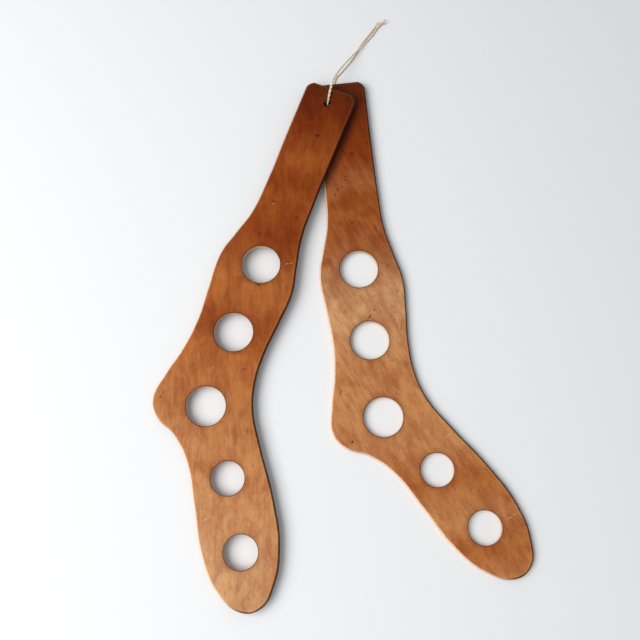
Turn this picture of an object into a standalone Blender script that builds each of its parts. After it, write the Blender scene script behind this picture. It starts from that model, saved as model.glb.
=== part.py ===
"""A pair of flat wooden sock stretchers, threaded on one loop of twine.

Two boards of the same pattern lie across each other at the neck. The twine goes down through
the front board's hole, between the boards, through the rear board's hole, under the rear board
and round to the knot that closes the loop.

Metres, +Z up. The boards lie on z = 0, and the origin is under the middle of the pair.
A board's own frame has its origin at the twine hole, on its underside: +Y towards the end of
the neck, +X towards the toe.
"""

import math

import bmesh
import bpy
from mathutils import Matrix, Vector

MM = 0.001

# The board
THICKNESS = 6.0 * MM
EDGE_ROUND = 2.4 * MM
NECK_TOP = 20.5 * MM
NECK_CORNER = 10.0 * MM
QUARTER_CIRCLE_HANDLE = 0.5523  # a Bezier handle's length for a quarter circle, in radii
NECK_LEFT = -31.3 * MM
NECK_RIGHT = 31.0 * MM

# Outline from the neck's left side round the heel, sole, toe and instep to its right side, in mm.
SIDE_AND_FOOT = (
    (-31.2, -50),
    (-30.6, -112),
    (-33.0, -155),
    (-40.0, -182),
    (-47.2, -211),
    (-44.6, -254),
    (-41.6, -290),
    (-44.0, -326),
    (-50.3, -357),
    (-52.5, -388),
    (-41.5, -403.5),
    (-18, -414),
    (6, -434),
    (32, -474),
    (57, -514.5),
    (86, -543.5),
    (116, -553.5),
    (134, -543),
    (138.5, -518),
    (130, -480),
    (105, -436),
    (75, -395),
    (53, -361.5),
    (43.5, -332),
    (41.2, -298),
    (43.6, -262),
    (44.8, -226),
    (38.5, -197),
    (31.5, -163),
    (30.0, -125),
    (30.0, -60),
)

# Vent holes, as (x, y) in mm from the leg to the toe. The two boards' holes don't quite match.
REAR_VENTS = ((-2.8, -209.5), (-0.6, -291.0), (3.4, -375.5), (52.5, -436.6), (93.0, -500.2))
FRONT_VENTS = ((0.2, -208.2), (0.9, -289.8), (3.9, -374.6), (54.1, -436.0), (94.8, -499.5))
VENT_DIAMETERS = (42.4, 42.4, 42.4, 35.4, 35.4)
VENT_RIM = 0.8 * MM
VENT_SIDES = 36
TWINE_HOLE = 6.4 * MM
TWINE_HOLE_RIM = 0.9 * MM
TWINE_HOLE_SIDES = 18

# Where the boards lie
REAR_HOLE = (3.4 * MM, 273.8 * MM)
REAR_TURN = math.radians(6.25)
REAR_LEAN = math.radians(0.48)
HEEL_TO_TOE = math.radians(-47.0)
HEEL_TO_TOE_REACH = -308.2 * MM
FRONT_SHIFT = (-15.7 * MM, -8.9 * MM)
BOARD_GAP = 2.6 * MM
FRONT_ROLL = math.radians(-0.7)
FRONT_SWING = math.radians(-27.1)

# The twine. Its route is in mm, from the knot back to the knot.
TWINE = 2.0 * MM
TWINE_STEP = 4.0 * MM
TWINE_ROUTE = (
    # up from the knot and over the front board's neck
    (48.9, 372.0, 2.1),
    (46.2, 367.2, 1.6),
    (42.2, 361.4, 1.3),
    (37.2, 355.2, 1.5),
    (32.2, 349.2, 2.5),
    (28.4, 343.8, 3.6),
    (24.2, 338.8, 4.6),
    (19.7, 332.7, 6.4),
    (14.1, 324.5, 9.4),
    (7.7, 314.0, 13.7),
    (1.2, 303.7, 17.4),
    (-3.6, 294.4, 19.3),
    (-6.4, 285.6, 19.6),
    (-8.6, 275.8, 19.3),
    (-10.0, 268.2, 18.9),
    # down through the front board's hole
    (-10.6, 265.5, 17.3),
    (-11.3, 264.4, 14.2),
    (-10.6, 263.5, 11.0),
    # between the boards
    (-8.2, 265.3, 9.8),
    (-3.9, 268.4, 9.8),
    (0.4, 271.5, 9.8),
    # down through the rear board's hole
    (2.7, 273.1, 8.6),
    (3.6, 273.7, 5.5),
    (3.2, 274.9, 2.4),
    # under the rear board's neck
    (2.3, 277.6, 1.2),
    (-0.2, 284.0, 1.2),
    (-2.9, 293.4, 1.2),
    # along the surface to the knot, under the first strand
    (-2.6, 299.0, 1.1),
    (-0.4, 305.6, 1.1),
    (5.5, 312.6, 1.1),
    (11.3, 320.0, 1.1),
    (17.0, 327.5, 1.1),
    (22.2, 335.8, 1.1),
    (25.9, 343.2, 1.1),
    (29.8, 350.0, 1.1),
    (34.6, 356.8, 1.1),
    (39.2, 363.1, 1.1),
    (43.2, 368.7, 1.3),
    (46.8, 373.4, 2.2),
)
KNOT = (50.4, 375.9, 2.5)
KNOT_SIZE = (7.4, 5.8, 4.6)
KNOT_TURN = math.radians(36)
LONG_TAIL = ((51.2, 376.6, 2.8), (54.6, 378.8, 3.6), (58.2, 381.0, 4.6))
SHORT_TAIL = ((51.6, 376.0, 2.2), (54.4, 375.6, 1.5), (56.8, 374.8, 1.2))

COLLECTION = "sock_stretcher_pair"


def clear_scene():
    for obj in list(bpy.data.objects):
        bpy.data.objects.remove(obj, do_unlink=True)


def collection(name):
    made = bpy.data.collections.new(name)
    bpy.context.scene.collection.children.link(made)
    return made


def material(name, colour, roughness):
    made = bpy.data.materials.new(name)
    made.use_nodes = True
    shader = made.node_tree.nodes["Principled BSDF"]
    shader.inputs["Base Color"].default_value = (*colour, 1.0)
    shader.inputs["Roughness"].default_value = roughness
    shader.inputs["Metallic"].default_value = 0.0
    made.diffuse_color = (*colour, 1.0)
    return made


def link(obj, into, mat=None):
    into.objects.link(obj)
    if mat:
        obj.data.materials.append(mat)
    return obj


def mesh_of_curve(curve, name):
    """The curve's solid as a mesh, with its loose caps welded to its sides."""
    guide = bpy.data.objects.new(name + "_guide", curve)
    bpy.context.scene.collection.objects.link(guide)
    graph = bpy.context.evaluated_depsgraph_get()
    mesh = bpy.data.meshes.new_from_object(guide.evaluated_get(graph))
    mesh.name = name
    bpy.data.objects.remove(guide, do_unlink=True)
    bm = bmesh.new()
    bm.from_mesh(mesh)
    bmesh.ops.remove_doubles(bm, verts=bm.verts, dist=1e-6)
    bmesh.ops.recalc_face_normals(bm, faces=bm.faces)
    bm.to_mesh(mesh)
    bm.free()
    return mesh


def neck_end_points():
    """The end of the neck as Bezier points (point, handle before, handle after): two quarter circles."""
    reach = NECK_CORNER * QUARTER_CIRCLE_HANDLE
    inner = NECK_TOP - NECK_CORNER
    return (
        ((NECK_RIGHT, inner), (0, -reach), (0, reach)),
        ((NECK_RIGHT - NECK_CORNER, NECK_TOP), (reach, 0), (-reach, 0)),
        ((NECK_LEFT + NECK_CORNER, NECK_TOP), (reach, 0), (-reach, 0)),
        ((NECK_LEFT, inner), (0, reach), (0, -reach)),
    )


def board_outline():
    """The stocking-shaped outline as a filled curve, extruded to the board's thickness.

    The curve's own bevel rounds the edges. Its offset keeps the outline where the points put it.
    """
    curve = bpy.data.curves.new("board_outline", "CURVE")
    curve.dimensions = "2D"
    curve.fill_mode = "BOTH"
    curve.extrude = THICKNESS / 2 - EDGE_ROUND
    curve.bevel_depth = EDGE_ROUND
    curve.bevel_resolution = 0
    curve.offset = -EDGE_ROUND
    curve.resolution_u = 6
    spline = curve.splines.new("BEZIER")
    corners = neck_end_points()
    spline.bezier_points.add(len(SIDE_AND_FOOT) + len(corners) - 1)
    for point, (x, y) in zip(spline.bezier_points, SIDE_AND_FOOT):
        point.co = (x * MM, y * MM, 0)
        point.handle_left_type = "AUTO"
        point.handle_right_type = "AUTO"
    for point, (at, before, after) in zip(spline.bezier_points[len(SIDE_AND_FOOT) :], corners):
        point.handle_left_type = "FREE"
        point.handle_right_type = "FREE"
        point.co = (*at, 0)
        point.handle_left = (at[0] + before[0], at[1] + before[1], 0)
        point.handle_right = (at[0] + after[0], at[1] + after[1], 0)
    spline.use_cyclic_u = True
    return curve


def board_mesh():
    mesh = mesh_of_curve(board_outline(), "stretcher_board")
    mesh.transform(Matrix.Translation((0, 0, THICKNESS / 2)))
    return mesh


def flared_cutter(bm, x, y, radius, rim, sides):
    """A round cutter through the board, flared at both faces to ease the hole's rims."""
    rings = (
        (radius + 2 * rim, -rim),
        (radius, rim),
        (radius, THICKNESS - rim),
        (radius + 2 * rim, THICKNESS + rim),
    )
    loops = []
    for r, z in rings:
        loops.append(
            bmesh.ops.create_circle(
                bm, segments=sides, radius=r, matrix=Matrix.Translation((x, y, z)), cap_ends=False
            )["verts"]
        )
    for lower, upper in zip(loops, loops[1:]):
        for i in range(sides):
            j = (i + 1) % sides
            bm.faces.new((lower[i], lower[j], upper[j], upper[i]))
    bm.faces.new(list(reversed(loops[0])))
    bm.faces.new(loops[-1])


def hole_cutter_mesh(vents):
    bm = bmesh.new()
    for (x, y), diameter in zip(vents, VENT_DIAMETERS):
        flared_cutter(bm, x * MM, y * MM, diameter * MM / 2, VENT_RIM, VENT_SIDES)
    flared_cutter(bm, 0, 0, TWINE_HOLE / 2, TWINE_HOLE_RIM, TWINE_HOLE_SIDES)
    bmesh.ops.recalc_face_normals(bm, faces=bm.faces)
    mesh = bpy.data.meshes.new("board_holes")
    bm.to_mesh(mesh)
    bm.free()
    return mesh


def helper(name, mesh, cutters, parent=None):
    """An operand of a Boolean, which isn't a piece itself."""
    made = link(bpy.data.objects.new(name, mesh), cutters)
    made.parent = parent
    made.hide_render = True
    made.display_type = "WIRE"
    return made


def add_board(name, mesh, vents, parent, mat, parts, cutters):
    """A board with its holes cut, on the given parent."""
    board = link(bpy.data.objects.new(name, mesh.copy()), parts, mat)
    board.parent = parent
    cutter = helper(name + "_holes", hole_cutter_mesh(vents), cutters, board)
    cut = board.modifiers.new("holes", "BOOLEAN")
    cut.operation = "DIFFERENCE"
    cut.solver = "EXACT"
    cut.object = cutter
    return board


def empty(name, matrix, parts, parent=None):
    made = link(bpy.data.objects.new(name, None), parts)
    made.empty_display_size = 0.03
    made.parent = parent
    made.matrix_local = matrix
    return made


def rear_place():
    """The rear board lies on its heel and toe, its neck raised by the twine under it."""
    along = Vector((math.cos(HEEL_TO_TOE), math.sin(HEEL_TO_TOE), 0))
    towards_neck = Vector((-along.y, along.x, 0))
    contact = Matrix.Translation(towards_neck * HEEL_TO_TOE_REACH)
    lean = contact @ Matrix.Rotation(REAR_LEAN, 4, along) @ contact.inverted()
    return Matrix.Translation((*REAR_HOLE, 0)) @ Matrix.Rotation(REAR_TURN, 4, "Z") @ lean


def front_place():
    """The front board's hole in the rear board's frame, where the swing's axis stands."""
    at = Matrix.Translation((*FRONT_SHIFT, THICKNESS + BOARD_GAP))
    return at @ Matrix.Rotation(FRONT_ROLL, 4, "Y") @ Matrix.Rotation(FRONT_SWING, 4, "Z")


def smooth_points(route):
    """Points every few millimetres along a smooth curve through the route's points."""
    knots = [Vector(point) * MM for point in route]
    knots = [knots[0] * 2 - knots[1], *knots, knots[-1] * 2 - knots[-2]]
    points = []
    for before, start, end, after in zip(knots, knots[1:], knots[2:], knots[3:]):
        steps = max(1, round((end - start).length / TWINE_STEP))
        for i in range(steps):
            t = i / steps
            points.append(
                0.5
                * (
                    2 * start
                    + (end - before) * t
                    + (2 * before - 5 * start + 4 * end - after) * t**2
                    + (3 * start - before - 3 * end + after) * t**3
                )
            )
    return [*points, knots[-2]]


def tube_curve(name, points):
    curve = bpy.data.curves.new(name, "CURVE")
    curve.dimensions = "3D"
    curve.bevel_depth = TWINE / 2
    curve.bevel_resolution = 2
    curve.use_fill_caps = True
    spline = curve.splines.new("POLY")
    spline.points.add(len(points) - 1)
    for point, at in zip(spline.points, points):
        point.co = (*at, 1)
    return curve


def add_twine(mat, parts):
    """The loop of twine, open at the knot, as a plain tube."""
    curve = tube_curve("twine", smooth_points(TWINE_ROUTE))
    return link(bpy.data.objects.new("hanging_twine", curve), parts, mat)


def add_knot(mat, parts, cutters):
    """The knot as one rounded lump, joined with the twine's two short tails."""
    bm = bmesh.new()
    bmesh.ops.create_uvsphere(bm, u_segments=20, v_segments=12, radius=MM / 2)
    bmesh.ops.scale(bm, vec=KNOT_SIZE, verts=bm.verts)
    bmesh.ops.rotate(bm, matrix=Matrix.Rotation(KNOT_TURN, 3, "Z"), verts=bm.verts)
    mesh = bpy.data.meshes.new("twine_knot")
    bm.to_mesh(mesh)
    bm.free()
    mesh.shade_smooth()
    knot = link(bpy.data.objects.new("twine_knot", mesh), parts, mat)
    knot.location = Vector(KNOT) * MM
    for name, route in (("long_tail", LONG_TAIL), ("short_tail", SHORT_TAIL)):
        tail = helper(name, mesh_of_curve(tube_curve(name, smooth_points(route)), name), cutters)
        join = knot.modifiers.new(name, "BOOLEAN")
        join.operation = "UNION"
        join.solver = "EXACT"
        join.object = tail
    return knot


def main():
    clear_scene()
    parts = collection(COLLECTION)
    cutters = collection("cutters")
    wood = material("aged_maple", (0.33, 0.12, 0.035), 0.5)
    rear_wood = material("aged_maple_rear", (0.36, 0.14, 0.045), 0.5)
    jute = material("natural_twine", (0.68, 0.55, 0.38), 0.9)

    mesh = board_mesh()
    rear_frame = empty("rear_frame", rear_place(), parts)
    swing_axis = empty("swing_axis", front_place(), parts, rear_frame)
    add_board("rear_stretcher", mesh, REAR_VENTS, rear_frame, rear_wood, parts, cutters)
    add_board("front_stretcher", mesh, FRONT_VENTS, swing_axis, wood, parts, cutters)
    add_twine(jute, parts)
    add_knot(jute, parts, cutters)


main()
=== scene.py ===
"""Looks for the pair of wooden sock stretchers: two worn maple boards threaded on a loop of twine.

Each board is rebuilt round the flat top that its CAD node has: finely meshed faces, rounded and
nicked edges and eased holes, under a procedural wood. The twine is a two-ply cord with loose fibres,
closed by a real overhand knot with frayed tails.
"""
import math
import random

import bmesh
import bpy
import numpy as np
from mathutils import Matrix, Vector, noise
from mathutils.geometry import delaunay_2d_cdt


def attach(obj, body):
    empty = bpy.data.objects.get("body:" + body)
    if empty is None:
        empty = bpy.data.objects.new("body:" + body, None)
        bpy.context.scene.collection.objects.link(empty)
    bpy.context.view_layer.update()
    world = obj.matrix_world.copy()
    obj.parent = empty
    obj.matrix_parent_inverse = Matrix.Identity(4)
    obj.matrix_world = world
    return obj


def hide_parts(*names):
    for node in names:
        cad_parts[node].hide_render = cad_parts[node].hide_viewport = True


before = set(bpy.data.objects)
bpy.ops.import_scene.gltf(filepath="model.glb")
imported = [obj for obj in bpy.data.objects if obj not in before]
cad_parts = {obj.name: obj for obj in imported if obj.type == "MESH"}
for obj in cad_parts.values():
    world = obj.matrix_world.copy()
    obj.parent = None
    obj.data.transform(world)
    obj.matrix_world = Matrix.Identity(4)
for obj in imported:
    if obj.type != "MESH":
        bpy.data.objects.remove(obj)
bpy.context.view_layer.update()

MM = 0.001

# Camera, light and table
CAMERA_AT = (-0.0199, -0.1979, 0.8438)
CAMERA_TILT = math.radians(13.75)
CAMERA_LENS = 44.26
WINDOW_AT = (-1.26, -0.36, 1.56)
WINDOW_SIZE = (2.0, 1.5)
WINDOW_POWER = 44.0
WINDOW_COLOUR = (1.0, 0.985, 0.965)
ROOM_COLOUR = (0.93, 0.965, 1.0)
ROOM_STRENGTH = 0.43
TABLE_HALF = 3.0
TABLE_BELOW = 0.05 * MM
TABLE_COLOUR = (0.80, 0.81, 0.82)

# Boards, in mm where a name ends in _MM. The first four are the CAD's.
THICKNESS_MM = 6.0
EDGE_ROUND_MM = 2.4
VENT_RIM_MM = 0.8
TWINE_HOLE_RIM_MM = 0.9
OUTLINE_STEP_MM = 1.7
HOLE_STEP_MM = 1.5
FACE_STEP_MM = 3.4
FACE_ROW_MM = FACE_STEP_MM * 0.866
FACE_JITTER_MM = 0.5
FACE_SWAY_MM = 0.10
EDGE_WOBBLE_MM = 0.10
OUTLINE_CLEAR_MM = 1.4
HOLE_CLEAR_MM = 1.2
DENT_CLEAR_MM = 4.6
DENT_RINGS_MM = (0.5, 1.0, 1.5, 2.1, 2.9, 4.0)
FAR_MM = 20.0
ARC_STEPS = 5
NICKS = 22
NICKS_ABOVE_MM = 2.0
LEAST_DENT_WIDTH_MM = 0.8
GRAIN_LEAN = math.radians(22)

# Twine
TWINE = 2.0 * MM
TWINE_ROUTE = (
    # up from the knot and over the front board's neck
    (48.9, 372.0, 2.1),
    (46.2, 367.2, 1.6),
    (42.2, 361.4, 1.3),
    (37.2, 355.2, 1.5),
    (32.2, 349.2, 2.5),
    (28.4, 343.8, 3.6),
    (24.2, 338.8, 4.6),
    (19.7, 332.7, 6.4),
    (14.1, 324.5, 9.4),
    (7.7, 314.0, 13.7),
    (1.2, 303.7, 17.4),
    (-3.6, 294.4, 19.3),
    (-6.4, 285.6, 19.6),
    (-8.6, 275.8, 19.3),
    (-10.0, 268.2, 18.9),
    # down through the front board's hole
    (-10.6, 265.5, 17.3),
    (-11.3, 264.4, 14.2),
    (-10.6, 263.5, 11.0),
    # between the boards
    (-8.2, 265.3, 9.8),
    (-3.9, 268.4, 9.8),
    (0.4, 271.5, 9.8),
    # down through the rear board's hole
    (2.7, 273.1, 8.6),
    (3.6, 273.7, 5.5),
    (3.2, 274.9, 2.4),
    # under the rear board's neck
    (2.3, 277.6, 1.2),
    (-0.2, 284.0, 1.2),
    (-2.9, 293.4, 1.2),
    # along the surface to the knot, under the first strand
    (-2.6, 299.0, 1.1),
    (-0.4, 305.6, 1.1),
    (5.5, 312.6, 1.1),
    (11.3, 320.0, 1.1),
    (17.0, 327.5, 1.1),
    (22.2, 335.8, 1.1),
    (25.9, 343.2, 1.1),
    (29.8, 350.0, 1.1),
    (34.6, 356.8, 1.1),
    (39.2, 363.1, 1.1),
    (43.2, 368.7, 1.3),
    (46.8, 373.4, 2.2),
)
HOLE_ENTRY = 15  # the route's first point in the front board's hole
LOOP_STEP = 0.32
LOOP_PITCH = 7.4
LOOP_FIBRES = 260

# Where the twine lies slack on the front board's face, by y and z, and how far it swells there
SLACK_FROM = 266.0
SLACK_TO = 312.0
SLACK_ABOVE = 12.0
SLACK_GIRTH = 1.46

# A ply, in shares of the twine's thickness
PLY_OFFSET = 0.235
PLY_RADIUS = 0.275
PLY_LUMPS = 0.13
PLY_SIDES = 14
PLY_RIDGES = 7
PLY_RIDGE = 0.055
THIN_POINTS = 6
THIN_END = 0.55
FIBRE_STEPS = 6
FIBRE_LOWEST = 0.12

# Knot
KNOT_AT = (51.2, 375.6, 1.8)
KNOT_HEADING = math.radians(42)
KNOT_RING = 1.7
KNOT_TUBE = 1.0
KNOT_OPENING = 0.36
KNOT_SHIFT = 0.72
KNOT_POINTS = 24
KNOT_FLATNESS = 0.86
KNOT_STEP = 0.22
KNOT_TWINE = 1.8
KNOT_FUZZ = 1.5
KNOT_PITCH = 4.6
KNOT_FIBRES = 90
FRAYED_FIBRES = 80
FRAYED_SPREAD = 0.30
FRAYED_ROOTS = 0.22
LONG_TAIL = ((53.6, 378.2, 2.6), (55.8, 379.6, 3.4), (58.0, 380.6, 4.4))
SHORT_TAIL = ((54.0, 377.3, 1.9), (55.6, 378.0, 1.7), (57.3, 378.3, 1.4))


# ---------------------------------------------------------------- camera, light and floor


def add_camera():
    camera = bpy.data.cameras.new("camera")
    camera.lens = CAMERA_LENS
    camera.sensor_width = 36
    camera.clip_start = 0.01
    holder = bpy.data.objects.new("camera", camera)
    holder.location = CAMERA_AT
    holder.rotation_euler = (CAMERA_TILT, 0, 0)
    bpy.context.scene.collection.objects.link(holder)
    bpy.context.scene.camera = holder


def add_window():
    """A soft rectangular light that faces the boards."""
    light = bpy.data.lights.new("window", "AREA")
    light.shape = "RECTANGLE"
    light.size, light.size_y = WINDOW_SIZE
    light.energy = WINDOW_POWER
    light.color = WINDOW_COLOUR
    holder = bpy.data.objects.new("window", light)
    holder.location = WINDOW_AT
    holder.rotation_euler = (-Vector(WINDOW_AT)).to_track_quat("-Z", "Y").to_euler()
    bpy.context.scene.collection.objects.link(holder)


def add_table():
    signs = ((-1, -1), (1, -1), (1, 1), (-1, 1))
    corners = [(x * TABLE_HALF, y * TABLE_HALF, -TABLE_BELOW) for x, y in signs]
    mesh = bpy.data.meshes.new("table_top")
    mesh.from_pydata(corners, [], [(0, 1, 2, 3)])
    table = bpy.data.objects.new("table_top", mesh)
    bpy.context.scene.collection.objects.link(table)
    paint, _, shader = new_material("pale_table")
    shader.inputs["Base Color"].default_value = (*TABLE_COLOUR, 1.0)
    shader.inputs["Roughness"].default_value = 0.75
    shader.inputs["Specular IOR Level"].default_value = 0.2
    mesh.materials.append(paint)


def add_studio():
    world = bpy.data.worlds.new("studio")
    world.use_nodes = True
    background = world.node_tree.nodes["Background"]
    background.inputs["Color"].default_value = (*ROOM_COLOUR, 1.0)
    background.inputs["Strength"].default_value = ROOM_STRENGTH
    bpy.context.scene.world = world
    bpy.context.scene.view_settings.view_transform = "Standard"
    add_window()
    add_table()


# ---------------------------------------------------------------- node helpers


def srgb(red, green, blue):
    """A display colour in 0..255 as the linear colour, with its alpha, that a shader takes."""
    scaled = [c / 255 for c in (red, green, blue)]
    linear = [c / 12.92 if c <= 0.04045 else ((c + 0.055) / 1.055) ** 2.4 for c in scaled]
    return (*linear, 1.0)


def add_node(tree, kind, inputs=(), **settings):
    """A node with its settings made, and each input given as a number or a socket."""
    made = tree.nodes.new(kind)
    for name, value in settings.items():
        setattr(made, name, value)
    for key, value in dict(inputs).items():
        if isinstance(value, bpy.types.NodeSocket):
            tree.links.new(value, made.inputs[key])
        else:
            made.inputs[key].default_value = value
    return made


def calc(tree, operation, a, b):
    return add_node(tree, "ShaderNodeMath", {0: a, 1: b}, operation=operation).outputs[0]


def times(tree, first, *others):
    """The product of numbers and sockets."""
    product = first
    for other in others:
        product = calc(tree, "MULTIPLY", product, other)
    return product


def plus(tree, first, *others):
    """The sum of numbers and sockets."""
    total = first
    for other in others:
        total = calc(tree, "ADD", total, other)
    return total


def centred(tree, value, size):
    """A noise's 0..1 as a swing of the given size round 0."""
    return times(tree, calc(tree, "SUBTRACT", value, 0.5), size)


def span(tree, value, low, high, to_low=0.0, to_high=1.0):
    """A value's place between two limits, smoothly, as a value between two others."""
    made = add_node(
        tree,
        "ShaderNodeMapRange",
        {"Value": value, "From Min": low, "From Max": high, "To Min": to_low, "To Max": to_high},
        interpolation_type="SMOOTHSTEP",
    )
    return made.outputs["Result"]


def noise_of(tree, vector, scale, detail=3.0, roughness=0.5, distortion=0.0):
    settings = {
        "Vector": vector,
        "Scale": scale,
        "Detail": detail,
        "Roughness": roughness,
        "Distortion": distortion,
    }
    return add_node(tree, "ShaderNodeTexNoise", settings).outputs["Fac"]


def placed(tree, vector, location=(0, 0, 0), turn=0.0, scale=(1, 1, 1)):
    made = add_node(
        tree,
        "ShaderNodeMapping",
        {"Vector": vector, "Location": location, "Rotation": (0, 0, turn), "Scale": scale},
    )
    return made.outputs["Vector"]


def mixed(tree, share, a, b, blend="MIX"):
    made = add_node(tree, "ShaderNodeMix", {0: share, 6: a, 7: b}, data_type="RGBA", blend_type=blend)
    return made.outputs[2]


def tinted(tree, colour, share, tint):
    """A colour multiplied by a display colour, as far as share says."""
    return mixed(tree, share, colour, srgb(*tint), "MULTIPLY")


def covered(tree, colour, share, paint):
    """A colour under a display colour, as far as share says."""
    return mixed(tree, share, colour, srgb(*paint))


def attribute(tree, name, output):
    made = add_node(tree, "ShaderNodeAttribute", attribute_name=name)
    return made.outputs[output]


def new_material(name):
    made = bpy.data.materials.new(name)
    made.use_nodes = True
    tree = made.node_tree
    return made, tree, tree.nodes["Principled BSDF"]


# ---------------------------------------------------------------- wood

# The varnish's display colours, from where hands held it to where it is nearly gone.
MAHOGANY = (90, 35, 5)
CHESTNUT = (122, 50, 5)
RUSSET = (140, 65, 15)
AMBER = (158, 84, 30)
FADED = (165, 100, 56)
TAN = (180, 110, 54)
HONEY = (198, 140, 88)
STRAW = (212, 166, 118)
# A board's tone from the end of its neck to its toe, as (mm from the twine hole, colour).
FRONT_TONES = (
    (20, MAHOGANY),
    (-20, CHESTNUT),
    (-75, AMBER),
    (-105, RUSSET),
    (-130, AMBER),
    (-170, RUSSET),
    (-230, TAN),
    (-290, AMBER),
    (-320, TAN),
    (-430, HONEY),
    (-550, STRAW),
)
REAR_TONES = (
    (20, MAHOGANY),
    (-30, CHESTNUT),
    (-75, RUSSET),
    (-110, FADED),
    (-130, AMBER),
    (-190, FADED),
    (-250, STRAW),
    (-320, HONEY),
    (-410, HONEY),
    (-450, TAN),
    (-490, HONEY),
    (-520, TAN),
    (-550, HONEY),
)
# Dents: centre x and y, half length and half width, turn in degrees, depth. Lengths are in mm.
FRONT_DENTS = (
    (3, -42, 2.5, 1.9, 20, 0.45),
    (-16, -134, 2.8, 0.7, -47, 0.22),
    (-13, -133, 1.7, 0.6, 85, 0.20),
    (-49, -382, 1.1, 0.9, 0, 0.25),
    (94, -429, 1.4, 0.5, 60, 0.15),
)
REAR_DENTS = (
    (-6, -98, 0.9, 0.8, 0, 0.22),
    (-6, -102, 1.2, 0.9, 0, 0.22),
    (0, -265, 3.4, 0.9, 54, 0.28),
    (6, -258, 1.3, 0.8, 60, 0.22),
    (-36, -398, 2.0, 1.0, 50, 0.18),
)
# Stains: centre x and y, half length and half width, turn in degrees, strength. The rear board's
# first two are painted shadow from the front board on its neck, and also the grime that gathers where it
# lies on it.
FRONT_STAINS = (
    (15, -143, 1.6, 1.0, 60, 0.50),
    (-17, -175, 2.4, 1.8, 0, 0.45),
    (-6, -172, 5.0, 3.0, 0, 0.25),
    (-6, -146, 6.5, 0.6, -55, 0.28),
    (2, -148, 5.0, 0.6, 55, 0.25),
    (4, -231, 2.8, 1.3, 0, 0.75),
    (24, -324, 1.7, 1.3, 0, 0.45),
    (51, -384, 4.5, 1.1, 100, 0.30),
    (70, -415, 1.6, 1.1, 0, 0.35),
)
REAR_STAINS_AND_SHADOWS = (
    # painted shadow of the front board on the rear neck: by its right edge, then by its top edge
    (-10, -63, 62.0, 9.5, 62.9, 0.55),
    (9, 4, 24.0, 7.0, -27, 0.40),
    (5, -70, 3.2, 1.6, 0, 0.50),
    (-12, -110, 1.7, 1.1, 45, 0.50),
    (-17, -113, 3.2, 1.6, 45, 0.35),
    (-20, -119, 2.2, 1.6, 60, 0.40),
    (16, -143, 8.0, 6.5, 0, 0.26),
    (-5, -154, 2.4, 2.2, 0, 0.36),
    (-20, -154, 2.4, 2.0, 0, 0.30),
    (20, -164, 6.0, 1.4, 104, 0.36),
    (26, -187, 2.0, 0.6, 82, 0.60),
    (28, -210, 3.2, 2.2, 60, 0.30),
    (34, -240, 1.6, 1.1, 90, 0.42),
    (15, -254, 2.0, 0.8, 50, 0.45),
    (32, -282, 2.4, 0.8, 80, 0.34),
    (-30, -314, 1.5, 1.3, 0, 0.32),
    (-42, -344, 4.0, 1.6, 80, 0.34),
    (-36, -360, 4.0, 2.0, 40, 0.22),
    (19, -316, 4.5, 0.9, 10, 0.26),
)
# Pale scratches: centre x and y, half length, turn in degrees.
FRONT_SCRATCHES = (
    (-15, -137, 1.3, 20),
    (25, -198, 2.0, 34),
    (29, -196, 1.7, 34),
    (45, -481, 4.5, 62),
    (42, -484, 3.0, 50),
    (-2, -446, 3.0, 40),
)
REAR_SCRATCHES = (
    (-38, -206, 1.2, 80),
    (115, -494, 3.4, 18),
    (121, -491, 2.6, 24),
    (65, -403, 3.2, 28),
)
SCRATCH_HALF_WIDTH = 0.4
TONE_TOP = 30.0
TONE_LENGTH = 590.0
BUMP_HEIGHT = 0.12 * MM


def tone_ramp(tree, along, tones):
    """The colour at a distance along the board."""
    place = calc(tree, "DIVIDE", calc(tree, "SUBTRACT", TONE_TOP, along), TONE_LENGTH)
    ramp = add_node(tree, "ShaderNodeValToRGB", {"Fac": place})
    elements = ramp.color_ramp.elements
    while len(elements) < len(tones):
        elements.new(0.5)
    for element, (y, colour) in zip(elements, tones):
        element.position = (TONE_TOP - y) / TONE_LENGTH
        element.color = srgb(*colour)
    return ramp.outputs["Color"]


def length_of(tree, vector):
    return add_node(tree, "ShaderNodeVectorMath", {0: vector}, operation="LENGTH").outputs["Value"]


def mark_mask(tree, at, x, y, length, width, turn):
    """1 in a slim ellipse round a place on the board, and 0 away from it."""
    turned = placed(tree, placed(tree, at, (-x, -y, 0)), turn=-math.radians(turn))
    shrunk = placed(tree, turned, scale=(1 / length, 1 / width, 0))
    return span(tree, length_of(tree, shrunk), 0.55, 1.25, 1.0, 0.0)


def strongest(tree, masks):
    total = masks[0]
    for mask in masks[1:]:
        total = calc(tree, "MAXIMUM", total, mask)
    return total


def drawn_out(tree, grain, squeeze, scale, detail, roughness, distortion=0.0):
    """Noise drawn out along the grain."""
    stretched = placed(tree, grain, scale=(1.0, squeeze, 1.0))
    return noise_of(tree, stretched, scale, detail, roughness, distortion)


def swayed_along(tree, at, here):
    """The distance along the board, swayed so that its tones meet in soft, uneven bands."""
    bend = centred(tree, noise_of(tree, here, 0.022, 2.0), 46.0)
    ripple = centred(tree, noise_of(tree, here, 0.09, 3.0, 0.6), 12.0)
    straight = add_node(tree, "ShaderNodeSeparateXYZ", {0: at}).outputs["Y"]
    return plus(tree, straight, plus(tree, bend, ripple))


def add_blotches(tree, colour, grain):
    """Patches where the finish has soaked in unevenly."""
    blotch = drawn_out(tree, grain, 0.55, 0.045, 5.0, 0.62, 0.6)
    cloud = drawn_out(tree, grain, 0.35, 0.17, 4.0, 0.6, 0.4)
    colour = tinted(tree, colour, span(tree, blotch, 0.36, 0.60, 0.40, 0.0), (194, 120, 84))
    glow = span(tree, blotch, 0.52, 0.74, 0.0, 0.20)
    colour = mixed(tree, glow, colour, srgb(226, 170, 112), "SOFT_LIGHT")
    colour = tinted(tree, colour, span(tree, cloud, 0.34, 0.60, 0.34, 0.0), (196, 144, 112))
    return colour, blotch


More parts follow.
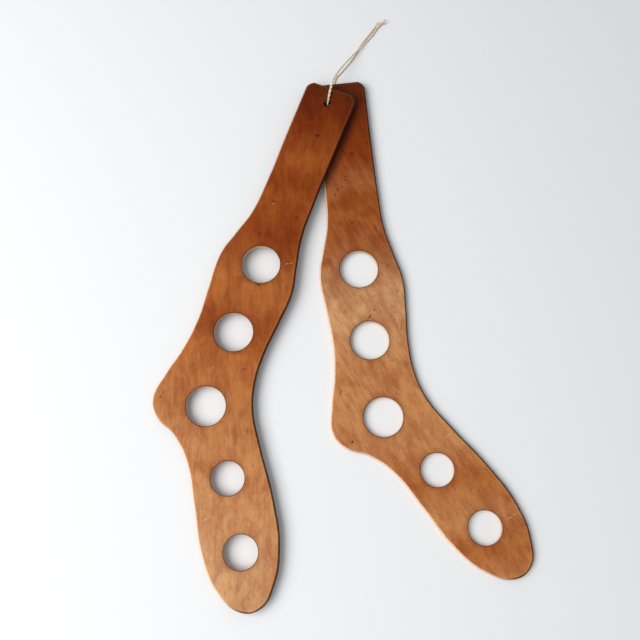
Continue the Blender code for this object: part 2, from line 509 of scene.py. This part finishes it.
def ring_lines(tree, grain):
    settings = {
        "Vector": placed(tree, grain, scale=(1.0, 0.06, 1.0)),
        "Scale": 0.045,
        "Distortion": 5.0,
        "Detail": 3.0,
        "Detail Scale": 1.2,
    }
    wave = add_node(tree, "ShaderNodeTexWave", settings, bands_direction="X", wave_profile="SAW")
    return wave.outputs["Fac"]


def add_grain(tree, colour, grain):
    """Broad and fine streaks, the short dark dashes of the pores, a mottle and faint rings."""
    broad = drawn_out(tree, grain, 0.035, 0.32, 4.0, 0.6, 0.3)
    fine = drawn_out(tree, grain, 0.022, 1.5, 4.0, 0.65, 0.15)
    pores = drawn_out(tree, grain, 0.10, 2.3, 2.0, 0.5)
    mottle = drawn_out(tree, grain, 0.65, 0.55, 4.0, 0.68, 0.3)
    dash = span(tree, pores, 0.62, 0.74, 0.0, 0.26)
    colour = tinted(tree, colour, span(tree, broad, 0.36, 0.62, 0.09, 0.0), (190, 140, 106))
    colour = tinted(tree, colour, span(tree, fine, 0.38, 0.60, 0.14, 0.0), (178, 130, 102))
    colour = tinted(tree, colour, dash, (140, 88, 60))
    colour = tinted(tree, colour, span(tree, mottle, 0.34, 0.54, 0.16, 0.0), (176, 126, 92))
    colour = tinted(tree, colour, span(tree, ring_lines(tree, grain), 0.55, 1.0, 0.0, 0.07), (170, 112, 78))
    return colour, broad, fine, dash


def add_specks(tree, colour, grain):
    """Small dark specks, in about a third of the cells."""
    settings = {"Vector": placed(tree, grain, scale=(1.0, 0.6, 1.0)), "Scale": 0.085}
    cells = add_node(tree, "ShaderNodeTexVoronoi", settings)
    chance = add_node(tree, "ShaderNodeSeparateColor", {0: cells.outputs["Color"]}).outputs["Red"]
    near = span(tree, cells.outputs["Distance"], 0.025, 0.07, 1.0, 0.0)
    speck = times(tree, near, span(tree, chance, 0.62, 0.72))
    return covered(tree, colour, times(tree, speck, 0.55), (70, 28, 12)), speck


def add_marks(tree, colour, at, dents, stains_and_shadows, scratches):
    """Soft stains, with painted shadow among them, dents that hold dirt, and scratches that show bare wood.
    """
    stained_and_shaded = [times(tree, mark_mask(tree, at, *mark[:5]), mark[5]) for mark in stains_and_shadows]
    # darkens the stains, and the painted shadow in the rear board's list
    colour = covered(tree, colour, strongest(tree, stained_and_shaded), (66, 24, 10))
    dent = strongest(tree, [mark_mask(tree, at, *mark[:5]) for mark in dents])
    colour = covered(tree, colour, times(tree, dent, 0.75), (38, 13, 6))
    scratched = [
        mark_mask(tree, at, x, y, half, SCRATCH_HALF_WIDTH, turn) for x, y, half, turn in scratches
    ]
    scratch = strongest(tree, scratched)
    colour = covered(tree, colour, times(tree, scratch, 0.55), (222, 182, 146))
    return colour, dent, scratch


def add_hole_dirt_and_shade(tree, colour, at, ragged):
    """Dirt in the eased rims, bare walls in the vents, and painted shade that makes the twine's hole near
    black.
    """
    rim = attribute(tree, "rim_mm", "Fac")
    rim_at = plus(tree, rim, ragged)
    colour = tinted(tree, colour, span(tree, rim_at, 0.9, 7.0, 0.20, 0.0), (150, 92, 62))
    colour = covered(tree, colour, span(tree, rim_at, 0.4, 1.5, 0.78, 0.0), (72, 29, 14))
    from_twine = length_of(tree, placed(tree, at, scale=(1, 1, 0)))
    wall = times(tree, span(tree, rim, 0.02, 0.16, 0.85, 0.0), span(tree, from_twine, 5.0, 7.0))
    colour = covered(tree, colour, wall, (226, 186, 152))
    # painted shade: the twine's hole, its walls and rim, made near black
    painted_hole_shade = calc(tree, "SUBTRACT", 1.0, span(tree, from_twine, 3.6, 5.2))
    return covered(tree, colour, times(tree, painted_hole_shade, 0.85), (30, 12, 6))


def add_edge_light_and_wear(tree, colour, along, ragged):
    """Edges that face the light paler, by wear and painted highlight, and the others painted dark as shade,
    under a thin painted highlight line.
    """
    edge_at = plus(tree, attribute(tree, "edge_mm", "Fac"), ragged)
    lit_edge = attribute(tree, "lit_side", "Fac")
    shaded_edge = calc(tree, "SUBTRACT", 1.0, lit_edge)
    # a thin painted highlight along the arris of the edges that face away from the light
    line = times(tree, span(tree, edge_at, 2.0, 2.6), span(tree, edge_at, 3.2, 4.0, 1.0, 0.0))
    line = times(tree, line, shaded_edge, span(tree, along, -330.0, -120.0, 0.12, 0.04))
    colour = covered(tree, colour, line, (222, 176, 112))
    # painted shade on the edges that face away from the light
    painted_edge_shade = times(tree, span(tree, edge_at, 1.2, 2.1, 1.0, 0.0), shaded_edge, 0.86)
    colour = covered(tree, colour, painted_edge_shade, (42, 18, 9))
    # the edges that face the light made pale, partly wear and partly painted highlight
    foot = span(tree, along, -210.0, -40.0, 1.0, 0.6)
    worn_and_lit = times(tree, span(tree, edge_at, 1.0, 1.9, 1.0, 0.0), lit_edge, foot, 0.75)
    return covered(tree, colour, worn_and_lit, (238, 214, 190))


def add_bump(tree, shader, height, strength):
    settings = {"Height": height, "Strength": strength, "Distance": BUMP_HEIGHT}
    bump = add_node(tree, "ShaderNodeBump", settings)
    tree.links.new(bump.outputs["Normal"], shader.inputs["Normal"])


def wood(name, tones, dents, stains_and_shadows, scratches, seed):
    """Old maple under worn varnish: dark at the handled neck and paler and drier at the foot."""
    made, tree, shader = new_material(name)
    at = attribute(tree, "board_mm", "Vector")
    here = placed(tree, at, (seed * 731.0, seed * 419.0, seed * 57.0))
    grain = placed(tree, here, turn=-GRAIN_LEAN)
    along = swayed_along(tree, at, here)
    ragged = centred(tree, noise_of(tree, at, 0.6, 3.0), 1.2)

    colour = tone_ramp(tree, along, tones)
    colour, blotch = add_blotches(tree, colour, grain)
    colour, broad, fine, dash = add_grain(tree, colour, grain)
    colour, speck = add_specks(tree, colour, grain)
    colour, dent, scratch = add_marks(tree, colour, at, dents, stains_and_shadows, scratches)
    colour = add_hole_dirt_and_shade(tree, colour, at, ragged)
    colour = add_edge_light_and_wear(tree, colour, along, ragged)
    tree.links.new(colour, shader.inputs["Base Color"])

    dryness = span(tree, along, -420.0, -40.0, 0.36, 0.24)
    rough = plus(tree, times(tree, fine, 0.18), times(tree, blotch, 0.22), dryness, times(tree, dent, 0.2))
    tree.links.new(rough, shader.inputs["Roughness"])
    shader.inputs["Specular IOR Level"].default_value = 0.10

    raised = plus(tree, times(tree, fine, 0.6), times(tree, broad, 0.8))
    sunken = (times(tree, dash, -0.9), times(tree, speck, -0.8), times(tree, scratch, -0.6))
    add_bump(tree, shader, plus(tree, raised, *sunken), 0.35)
    return made


# ---------------------------------------------------------------- boards


def flat_top(node):
    """The up direction of a board's CAD node, and the closed loops round its flat top, in metres."""
    bm = bmesh.new()
    bm.from_mesh(node.data)
    bmesh.ops.remove_doubles(bm, verts=bm.verts, dist=2e-6)
    bm.normal_update()
    up = max(bm.faces, key=lambda face: face.calc_area()).normal.copy()
    if up.z < 0:
        up.negate()
    top = {face for face in bm.faces if face.normal.dot(up) > 0.9999}
    neighbours = {}
    for edge in bm.edges:
        if sum(face in top for face in edge.link_faces) == 1:
            for one, other in (edge.verts, reversed(edge.verts)):
                neighbours.setdefault(one, []).append(other)
    loops = []
    while neighbours:
        start = next(iter(neighbours))
        loop = [start]
        while True:
            ahead = [v for v in neighbours.pop(loop[-1]) if v in neighbours]
            if not ahead:
                break
            loop.append(ahead[0])
        loops.append([vert.co.copy() for vert in loop])
    bm.free()
    return up, loops


def loop_length(loop):
    return sum((a - b).length for a, b in zip(loop, [*loop[1:], loop[0]]))


def middle(loop):
    return sum(loop, Vector()) / len(loop)


def board_frame(node):
    """The board's own frame, with +Y from the ankle vent to the twine hole, and its loops in it, in mm."""
    up, loops = flat_top(node)
    loops.sort(key=loop_length)
    twine_hole, *vents, outline = loops
    hole = middle(twine_hole)
    vents.sort(key=lambda loop: (middle(loop) - hole).length)
    along = (hole - middle(vents[2])).normalized()
    across = along.cross(up).normalized()
    along = up.cross(across)
    place = Matrix((across, along, up)).transposed().to_4x4()
    place.translation = hole - up * THICKNESS_MM * MM
    inverse = place.inverted()

    def flat(loop):
        return np.array([(inverse @ point)[:2] for point in loop]) / MM

    return place, flat(outline), [flat(loop) for loop in vents], flat(twine_hole)


def signed_area(loop):
    x, y = loop[:, 0], loop[:, 1]
    return 0.5 * float((x * np.roll(y, -1) - np.roll(x, -1) * y).sum())


def curved(before, start, end, after, share):
    """A point part of the way from start to end, on a smooth curve through all four."""
    return 0.5 * (
        2 * start
        + (end - before) * share
        + (2 * before - 5 * start + 4 * end - after) * share**2
        + (3 * start - before - 3 * end + after) * share**3
    )


def distances(line):
    """How far along a line each of its points lies."""
    return np.concatenate([[0], np.cumsum(np.linalg.norm(np.diff(line, axis=0), axis=1))])


def points_at(line, gone, wanted):
    """The points at the wanted distances along a line."""
    return np.stack([np.interp(wanted, gone, column) for column in line.T], axis=1)


def smooth_loop(loop, step):
    """A closed loop again, along a smooth curve through its points, with points evenly step apart."""
    if signed_area(loop) < 0:
        loop = loop[::-1]
    before, after, beyond = np.roll(loop, 1, 0), np.roll(loop, -1, 0), np.roll(loop, -2, 0)
    pieces = [curved(before, loop, after, beyond, k / 8) for k in range(8)]
    dense = np.stack(pieces, axis=1).reshape(-1, 2)
    closed = np.vstack([dense, dense[:1]])
    gone = distances(closed)
    wanted = np.linspace(0, gone[-1], max(12, round(gone[-1] / step)), endpoint=False)
    return points_at(closed, gone, wanted)


def circle_loop(loop, step):
    """An even circle in place of a faceted one."""
    centre = loop.mean(0)
    radius = float(np.linalg.norm(loop - centre, axis=1).mean())
    count = round(2 * math.pi * radius / step)
    turns = np.arange(count) * (2 * math.pi / count)
    return centre + radius * np.stack([np.cos(turns), np.sin(turns)], axis=1)


def outward(loop):
    """Unit normals that point away from the inside of a counter-clockwise loop."""
    ahead = np.roll(loop, -1, 0) - np.roll(loop, 1, 0)
    ahead /= np.linalg.norm(ahead, axis=1)[:, None]
    return np.stack([ahead[:, 1], -ahead[:, 0]], axis=1)


def inside(points, loop):
    """Which points lie in a loop, by counting crossings."""
    found = np.zeros(len(points), bool)
    x, y = points[:, 0], points[:, 1]
    for (x1, y1), (x2, y2) in zip(loop, np.roll(loop, -1, 0)):
        if y1 != y2:
            crosses = ((y1 > y) != (y2 > y)) & (x < (x2 - x1) * (y - y1) / (y2 - y1) + x1)
            found ^= crosses
    return found


def nearest(points, loop):
    """Each point's distance from a loop's points."""
    best = np.full(len(points), 1e9)
    for part in np.array_split(np.arange(len(points)), max(1, len(points) // 2000)):
        best[part] = np.linalg.norm(points[part, None] - loop[None], axis=2).min(1)
    return best


def ring_round(x, y, radius):
    count = max(6, round(radius * 7))
    turns = [2 * math.pi * k / count for k in range(count)]
    return [(x + radius * math.cos(turn), y + radius * math.sin(turn)) for turn in turns]


def face_points(outline, holes, dents, rng):
    """Points spread over the board's face, closer together round its dents."""
    low, high = outline.min(0), outline.max(0)
    spread = []
    for i, row in enumerate(np.arange(low[1], high[1], FACE_ROW_MM)):
        for column in np.arange(low[0] + (i % 2) * FACE_STEP_MM / 2, high[0], FACE_STEP_MM):
            x = column + rng.uniform(-FACE_JITTER_MM, FACE_JITTER_MM)
            y = row + rng.uniform(-FACE_JITTER_MM, FACE_JITTER_MM)
            spread.append((x, y))
    spread = np.array(spread)
    for x, y, *_ in dents:
        spread = spread[np.linalg.norm(spread - (x, y), axis=1) > DENT_CLEAR_MM]
    for x, y, *_ in dents:
        rings = [ring_round(x, y, radius) for radius in DENT_RINGS_MM]
        spread = np.vstack([spread, [(x, y)], *rings])
    keep = inside(spread, outline) & (nearest(spread, outline) > OUTLINE_CLEAR_MM)
    for hole in holes:
        keep &= ~inside(spread, hole) & (nearest(spread, hole) > HOLE_CLEAR_MM)
    return spread[keep]


def triangulate(outline, holes, loose):
    """The face's points and triangles. The loops come first, in their own order."""
    loops = [outline, *holes]
    points = np.vstack([*loops, loose])
    edges, start = [], 0
    for loop in loops:
        edges += [(start + i, start + (i + 1) % len(loop)) for i in range(len(loop))]
        start += len(loop)
    found = delaunay_2d_cdt([Vector(p) for p in points], edges, [], 0, 1e-6)
    triangles = np.array([t for t in found[2] if len(t) == 3])
    points = np.array([tuple(p) for p in found[0]])
    centres = points[triangles].mean(1)
    keep = inside(centres, outline)
    for hole in holes:
        keep &= ~inside(centres, hole)
    return points, triangles[keep]


def edge_profile(width):
    """How far a rounded edge stands out from the flat top's loop and its height, from top to bottom."""
    arc = [k * math.pi / 2 / ARC_STEPS for k in range(ARC_STEPS + 1)]
    top = [(width * math.sin(a), THICKNESS_MM - width + width * math.cos(a)) for a in arc]
    bottom = [(out, THICKNESS_MM - z) for out, z in reversed(top)]
    side = [(width, THICKNESS_MM / 2)]
    return top + side + bottom


def dent_depth(points, dents):
    depth = np.zeros(len(points))
    for x, y, length, width, turn, deep in dents:
        c, s = math.cos(math.radians(turn)), math.sin(math.radians(turn))
        away = points[:, :2] - (x, y)
        u = (away[:, 0] * c + away[:, 1] * s) / length
        v = (away[:, 1] * c - away[:, 0] * s) / max(width, LEAST_DENT_WIDTH_MM)
        depth += deep * np.exp(-(u * u + v * v))
    return depth


def edge_nicks(outline, rng):
    """Knocks along the outline: place, half width and depth in mm."""
    return [
        (outline[rng.randrange(len(outline))], rng.uniform(0.8, 2.4), rng.uniform(0.12, 0.45))
        for _ in range(NICKS)
    ]


def edge_ring(loop, away, out, z, width, nicks, seed):
    """A loop moved out to a place on its rounded edge, a little uneven and with its nicks cut in."""
    ring = loop + away * out
    wobble = np.array([noise.noise(Vector((x * 0.11, y * 0.11, z * 0.3 + seed))) for x, y in ring])
    ring = ring + away * (wobble * EDGE_WOBBLE_MM * out / width)[:, None]
    for centre, wide, deep in nicks:
        near = np.exp(-(((ring - centre) ** 2).sum(1)) / wide**2) * (z > NICKS_ABOVE_MM)
        ring = ring - away * (near * deep * out / width)[:, None]
    return ring


def worn_face(points, dents, seed):
    """The board's points with both faces swaying a little and the dents sunk in the top."""
    middle_z = THICKNESS_MM / 2
    top_share = np.clip((points[:, 2] - middle_z) / middle_z, 0, 1)
    sway = np.array([noise.noise(Vector((x * 0.035, y * 0.035, z * 0.01 + seed))) for x, y, z in points])
    shaped = points.copy()
    shaped[:, 2] += sway * FACE_SWAY_MM * np.sign(points[:, 2] - middle_z)
    shaped[:, 2] -= dent_depth(points, dents) * top_share
    return shaped


def keep_values(mesh, name, values):
    mesh.attributes.new(name, "FLOAT", "POINT").data.foreach_set("value", values)


def keep_vectors(mesh, name, vectors):
    mesh.attributes.new(name, "FLOAT_VECTOR", "POINT").data.foreach_set("vector", vectors)


def board(name, node, body, mat, dents, seed):
    """A board that stands for its CAD node."""
    rng = random.Random(seed)
    place, raw_outline, raw_vents, raw_hole = board_frame(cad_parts[node])
    outline = smooth_loop(raw_outline, OUTLINE_STEP_MM)
    holes = [circle_loop(loop, HOLE_STEP_MM) for loop in raw_vents]
    holes.append(circle_loop(raw_hole, HOLE_STEP_MM / 2))
    widths = [EDGE_ROUND_MM, *[VENT_RIM_MM] * len(raw_vents), TWINE_HOLE_RIM_MM]
    flat, triangles = triangulate(outline, holes, face_points(outline, holes, dents, rng))
    nicks = edge_nicks(outline, rng)

    # the two faces, and for the shader how far each point is from the outline and from a hole
    count = len(flat)
    points = [np.column_stack([flat, np.full(count, z)]) for z in (THICKNESS_MM, 0.0)]
    edge_at = np.clip(nearest(flat, outline) + EDGE_ROUND_MM, 0, FAR_MM)
    rim_at = np.clip(np.min([nearest(flat, hole) for hole in holes], axis=0) + VENT_RIM_MM, 0, FAR_MM)
    # which edges face the light, to the left, for the painted highlight and painted shade on them
    lit_side = np.clip(0.15 - 1.3 * outward(outline)[:, 0], 0, 1)
    face_lit_sides = np.concatenate([lit_side, np.full(count - len(lit_side), 0.5)])
    edges, rims, lit_sides = [edge_at] * 2, [rim_at] * 2, [face_lit_sides] * 2
    faces = [*triangles.tolist(), *(triangles[:, ::-1] + count).tolist()]

    # the rounded strips that join the two faces, one for each loop
    total, start = 2 * count, 0
    for number, (loop, width) in enumerate(zip([outline, *holes], widths)):
        outer = number == 0
        size = len(loop)
        away = outward(loop) * (1 if outer else -1)
        rings = [range(start, start + size)]
        for out, z in edge_profile(width)[1:-1]:
            ring = edge_ring(loop, away, out, z, width, nicks if outer else (), seed)
            points.append(np.column_stack([ring, np.full(size, z)]))
            edges.append(np.full(size, width - out if outer else FAR_MM))
            rims.append(np.full(size, FAR_MM if outer else width - out))
            lit_sides.append(lit_side if outer else np.full(size, 0.5))
            rings.append(range(total, total + size))
            total += size
        rings.append(range(count + start, count + start + size))
        for upper, lower in zip(rings, rings[1:]):
            for i in range(size):
                j = (i + 1) % size
                quad = (upper[i], lower[i], lower[j], upper[j])
                faces.append(quad if outer else quad[::-1])
        start += size

    points = np.vstack(points)
    mesh = bpy.data.meshes.new(name)
    mesh.from_pydata((worn_face(points, dents, seed) * MM).tolist(), [], faces)
    keep_vectors(mesh, "board_mm", points.ravel())
    keep_values(mesh, "edge_mm", np.concatenate(edges))
    keep_values(mesh, "rim_mm", np.concatenate(rims))
    keep_values(mesh, "lit_side", np.concatenate(lit_sides))
    mesh.transform(place)
    mesh.shade_smooth()
    mesh.materials.append(mat)
    made = bpy.data.objects.new(name, mesh)
    bpy.context.scene.collection.objects.link(made)
    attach(made, body)
    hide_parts(node)
    return made


# ---------------------------------------------------------------- twine


def curve_through(route, step):
    """Points about step apart on a smooth curve through the route's points."""
    knots = np.array(route, float)
    knots = np.vstack([2 * knots[0] - knots[1], knots, 2 * knots[-1] - knots[-2]])
    dense = []
    for before, start, end, after in zip(knots, knots[1:], knots[2:], knots[3:]):
        dense += [curved(before, start, end, after, k / 16) for k in range(16)]
    dense = np.array([*dense, knots[-2]])
    gone = distances(dense)
    return points_at(dense, gone, np.linspace(0, gone[-1], max(3, math.ceil(gone[-1] / step) + 1)))


def frames_along(line):
    """A direction ahead and two steady directions across, at each point of a line."""
    ahead = np.gradient(line, axis=0)
    ahead /= np.linalg.norm(ahead, axis=1)[:, None]
    side = np.cross(ahead[0], (0.0, 0.0, 1.0))
    sides = []
    for direction in ahead:
        side = side - direction * (side @ direction)
        side = side / np.linalg.norm(side)
        sides.append(side)
    sides = np.array(sides)
    return ahead, sides, np.cross(ahead, sides)


def around(turns, right, up):
    """Unit directions across a line at the given turns, made from its two steady directions."""
    return np.cos(turns)[:, None] * right + np.sin(turns)[:, None] * up


def add_tube(data, line, radii, sides, ridges=0, ridge=0.0, spin=0.0):
    """A closed tube round a line, joined to the points and faces in data."""
    _, right, up = frames_along(line)
    start = len(data["points"])
    turn = np.arange(sides) * 2 * math.pi / sides
    for i, (centre, radius) in enumerate(zip(line, radii)):
        size = radius * (1 + ridge * np.cos(ridges * turn + spin * i))
        data["points"] += (centre + size[:, None] * around(turn, right[i], up[i])).tolist()
    for i in range(len(line) - 1):
        for k in range(sides):
            a = start + i * sides + k
            b = start + i * sides + (k + 1) % sides
            data["faces"].append((a, b, b + sides, a + sides))
    data["faces"].append(tuple(range(start + sides - 1, start - 1, -1)))
    last = start + (len(line) - 1) * sides
    data["faces"].append(tuple(range(last, last + sides)))


def twist(data, line, thickness, pitch, phase=0.0, seed=0, thin_end=False, girth=None):
    """Two plies twisted round a line, with the depth of each point in the lay kept for the shader.

    The girth swells the twine and slackens its lay, point by point.
    """
    step = float(np.linalg.norm(np.diff(line, axis=0), axis=1).mean())
    _, right, up = frames_along(line)
    count = len(line)
    share = np.ones(count) if girth is None else girth
    if thin_end:
        share[-THIN_POINTS:] = np.linspace(1.0, THIN_END, THIN_POINTS)
    for side in (0, 1):
        angle = phase + side * math.pi + np.cumsum(step / pitch / share) * 2 * math.pi
        lump = np.array([noise.noise(Vector((i * step * 0.35, side * 9.0, seed))) for i in range(count)])
        centre = line + thickness * PLY_OFFSET * around(angle, right, up) * share[:, None]
        radii = thickness * PLY_RADIUS * (1 + PLY_LUMPS * lump) * share
        first = len(data["points"])
        add_tube(data, centre, radii, PLY_SIDES, PLY_RIDGES, PLY_RIDGE, 0.5)
        made = np.array(data["points"][first:]).reshape(count, PLY_SIDES, 3)
        depth = np.linalg.norm(made - line[:, None], axis=2) / (thickness / 2)
        data["lay"] += depth.ravel().tolist()
        gone = np.repeat(np.arange(count) * step, PLY_SIDES)
        round_ply = np.tile(np.arange(PLY_SIDES) / PLY_SIDES, count)
        strand = np.full(len(gone), seed + side * 3.0)
        data["along"] += np.column_stack([gone, round_ply, strand]).tolist()


def slack_girth(line):
    """How far the twine swells where it lies slack on the front board's face."""
    near_end = np.clip((line[:, 1] - SLACK_FROM) / 6.0, 0, 1) * np.clip((SLACK_TO - line[:, 1]) / 8.0, 0, 1)
    return 1 + (SLACK_GIRTH - 1) * near_end * (line[:, 2] > SLACK_ABOVE)


def new_data():
    return {"points": [], "faces": [], "lay": [], "along": []}


def finished(name, data, mat, body="rear"):
    """The piece made of the points and faces in data, which are in mm."""
    mesh = bpy.data.meshes.new(name)
    mesh.from_pydata((np.array(data["points"]) * MM).tolist(), [], data["faces"])
    if data["lay"]:
        keep_values(mesh, "lay", data["lay"])
        keep_vectors(mesh, "fibre_mm", np.array(data["along"]).ravel())
    mesh.shade_smooth()
    mesh.materials.append(mat)
    made = bpy.data.objects.new(name, mesh)
    bpy.context.scene.collection.objects.link(made)
    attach(made, body)
    return made


def fibre(data, start, direction, length, bend, radius, rng):
    """One loose fibre that leaves a surface and curls."""
    heading = np.array(direction, float)
    heading /= np.linalg.norm(heading)
    curl = np.array([rng.gauss(0, 1) for _ in range(3)])
    line, at = [], np.array(start, float)
    for _ in range(FIBRE_STEPS + 1):
        line.append(at.copy())
        at = at + heading * length / FIBRE_STEPS
        heading = heading + curl * bend
        heading /= np.linalg.norm(heading)
        if at[2] < FIBRE_LOWEST:
            at[2] = FIBRE_LOWEST
            heading[2] = abs(heading[2])
    add_tube(data, np.array(line), np.linspace(radius, radius * 0.45, FIBRE_STEPS + 1), 4)


def fuzz(data, line, thickness, count, rng, longest):
    """Loose fibres along a line, each leaving the lay at a low angle."""
    ahead, right, up = frames_along(line)
    for _ in range(count):
        i = rng.randrange(2, len(line) - 2)
        turn = rng.uniform(0, 2 * math.pi)
        out = math.cos(turn) * right[i] + math.sin(turn) * up[i]
        start = line[i] + out * thickness * 0.38
        across = np.cross(ahead[i], out)
        direction = ahead[i] * rng.choice((-1, 1)) * rng.uniform(0.5, 1.0)
        direction = direction + out * rng.uniform(0.25, 0.9) + across * rng.uniform(-0.6, 0.6)
        length = rng.uniform(0.35, 1.0) * longest
        fibre(data, start, direction, length, 0.22, rng.uniform(0.025, 0.045), rng)


def fray(data, line, rng):
    """The loosened fibres at the end of a tail."""
    ahead = line[-1] - line[-4]
    ahead /= np.linalg.norm(ahead)
    for _ in range(FRAYED_FIBRES):
        direction = ahead + np.array([rng.gauss(0, FRAYED_SPREAD) for _ in range(3)])
        start = line[-3] + np.array([rng.gauss(0, FRAYED_ROOTS) for _ in range(3)])
        fibre(data, start, direction, rng.uniform(1.0, 2.8), 0.12, rng.uniform(0.05, 0.08), rng)


def coil_point(t, shift):
    """A place on the trefoil, round the ring by twice t and round its tube by three times t."""
    wide = KNOT_RING + KNOT_TUBE * math.cos(3 * t + shift)
    centred_by = (KNOT_RING + KNOT_TUBE * 0.5) * 0.45
    rise = KNOT_TUBE * KNOT_FLATNESS * math.sin(3 * t + shift)
    return Vector((wide * math.cos(2 * t) - centred_by, wide * math.sin(2 * t), rise))


def knot_lines():
    """The middle of each strand through the knot: an overhand knot tied in both at once.

    It is part of a trefoil wound on a ring, with its outer arc opened where the strands come in and
    the tails go out.
    """
    turn = Matrix.Rotation(KNOT_HEADING - math.pi / 2, 3, "Z")
    places = [
        KNOT_OPENING + (2 * math.pi - 2 * KNOT_OPENING) * k / KNOT_POINTS for k in range(KNOT_POINTS + 1)
    ]
    lines = []
    for shift, entry, tail in (
        (KNOT_SHIFT, TWINE_ROUTE[0], LONG_TAIL),
        (-KNOT_SHIFT, TWINE_ROUTE[-1], SHORT_TAIL),
    ):
        coil = [tuple(turn @ coil_point(t, shift) + Vector(KNOT_AT)) for t in places]
        lines.append(curve_through([entry, *coil, *tail], KNOT_STEP))
    return lines


def twine_material():
    """Undyed natural twine: pale fibres, with painted shade making it darker and browner down in the lay.
    """
    made, tree, shader = new_material("natural_twine")
    lay = attribute(tree, "lay", "Fac")
    at = attribute(tree, "fibre_mm", "Vector")
    streak = noise_of(tree, placed(tree, at, scale=(0.5, 14.0, 1.0)), 1.0, 4.0, 0.6, 0.2)
    patch = noise_of(tree, placed(tree, at, scale=(0.12, 0.6, 1.0)), 1.0, 3.0)
    # painted shade: the deeper a point lies in the lay, the darker and browner
    colour = mixed(tree, span(tree, lay, 0.25, 0.95), srgb(130, 106, 84), srgb(244, 231, 212))
    colour = tinted(tree, colour, span(tree, streak, 0.36, 0.60, 0.50, 0.0), (196, 168, 136))
    colour = tinted(tree, colour, span(tree, patch, 0.35, 0.65, 0.25, 0.0), (214, 190, 162))
    tree.links.new(colour, shader.inputs["Base Color"])
    shader.inputs["Roughness"].default_value = 0.85
    shader.inputs["Specular IOR Level"].default_value = 0.25
    shader.inputs["Sheen Weight"].default_value = 0.25
    shader.inputs["Sheen Roughness"].default_value = 0.5
    add_bump(tree, shader, streak, 0.5)
    return made


def fibre_material():
    made, tree, shader = new_material("loose_fibre")
    at = add_node(tree, "ShaderNodeTexCoord").outputs["Object"]
    tint = noise_of(tree, at, 700.0, 2.0)
    colour = mixed(tree, span(tree, tint, 0.35, 0.65), srgb(196, 160, 118), srgb(236, 216, 188))
    tree.links.new(colour, shader.inputs["Base Color"])
    shader.inputs["Roughness"].default_value = 0.7
    shader.inputs["Specular IOR Level"].default_value = 0.3
    return made


def add_twine():
    """The loop, the knot and their loose fibres."""
    strands, hairs = twine_material(), fibre_material()
    rng = random.Random(41)
    line = curve_through(TWINE_ROUTE, LOOP_STEP)
    loop_data = new_data()
    twist(loop_data, line, TWINE / MM, LOOP_PITCH, 0.4, 5, girth=slack_girth(line))
    loop = finished("twine_loop", loop_data, strands)
    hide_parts("hanging_twine")

    # loose fibres, and the one long hair at the front board's hole
    loose = new_data()
    fuzz(loose, line, TWINE / MM, LOOP_FIBRES, rng, 3.6)
    hole = np.array(TWINE_ROUTE[HOLE_ENTRY])
    fibre(loose, hole + (-0.4, -0.3, 0.3), (-1.0, -0.25, 0.05), 6.5, 0.03, 0.06, rng)
    loop_hairs = finished("loop_fibres", loose, hairs)

    knot_data, knot_loose = new_data(), new_data()
    for number, knot_line in enumerate(knot_lines()):
        twist(knot_data, knot_line, KNOT_TWINE, KNOT_PITCH, number * 1.3, 11 + number, True)
        fuzz(knot_loose, knot_line, KNOT_FUZZ, KNOT_FIBRES, rng, 2.6)
        fray(knot_loose, knot_line, rng)
    knot = finished("overhand_knot", knot_data, strands)
    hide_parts("twine_knot")
    knot_hairs = finished("knot_fibres", knot_loose, hairs)


add_camera()
add_twine()
add_studio()
rear_maple = wood("rear_maple", REAR_TONES, REAR_DENTS, REAR_STAINS_AND_SHADOWS, REAR_SCRATCHES, 2)
front_maple = wood("front_maple", FRONT_TONES, FRONT_DENTS, FRONT_STAINS, FRONT_SCRATCHES, 1)
board("rear_board", "rear_stretcher", "rear", rear_maple, REAR_DENTS, 7)
board("front_board", "front_stretcher", "front", front_maple, FRONT_DENTS, 3)
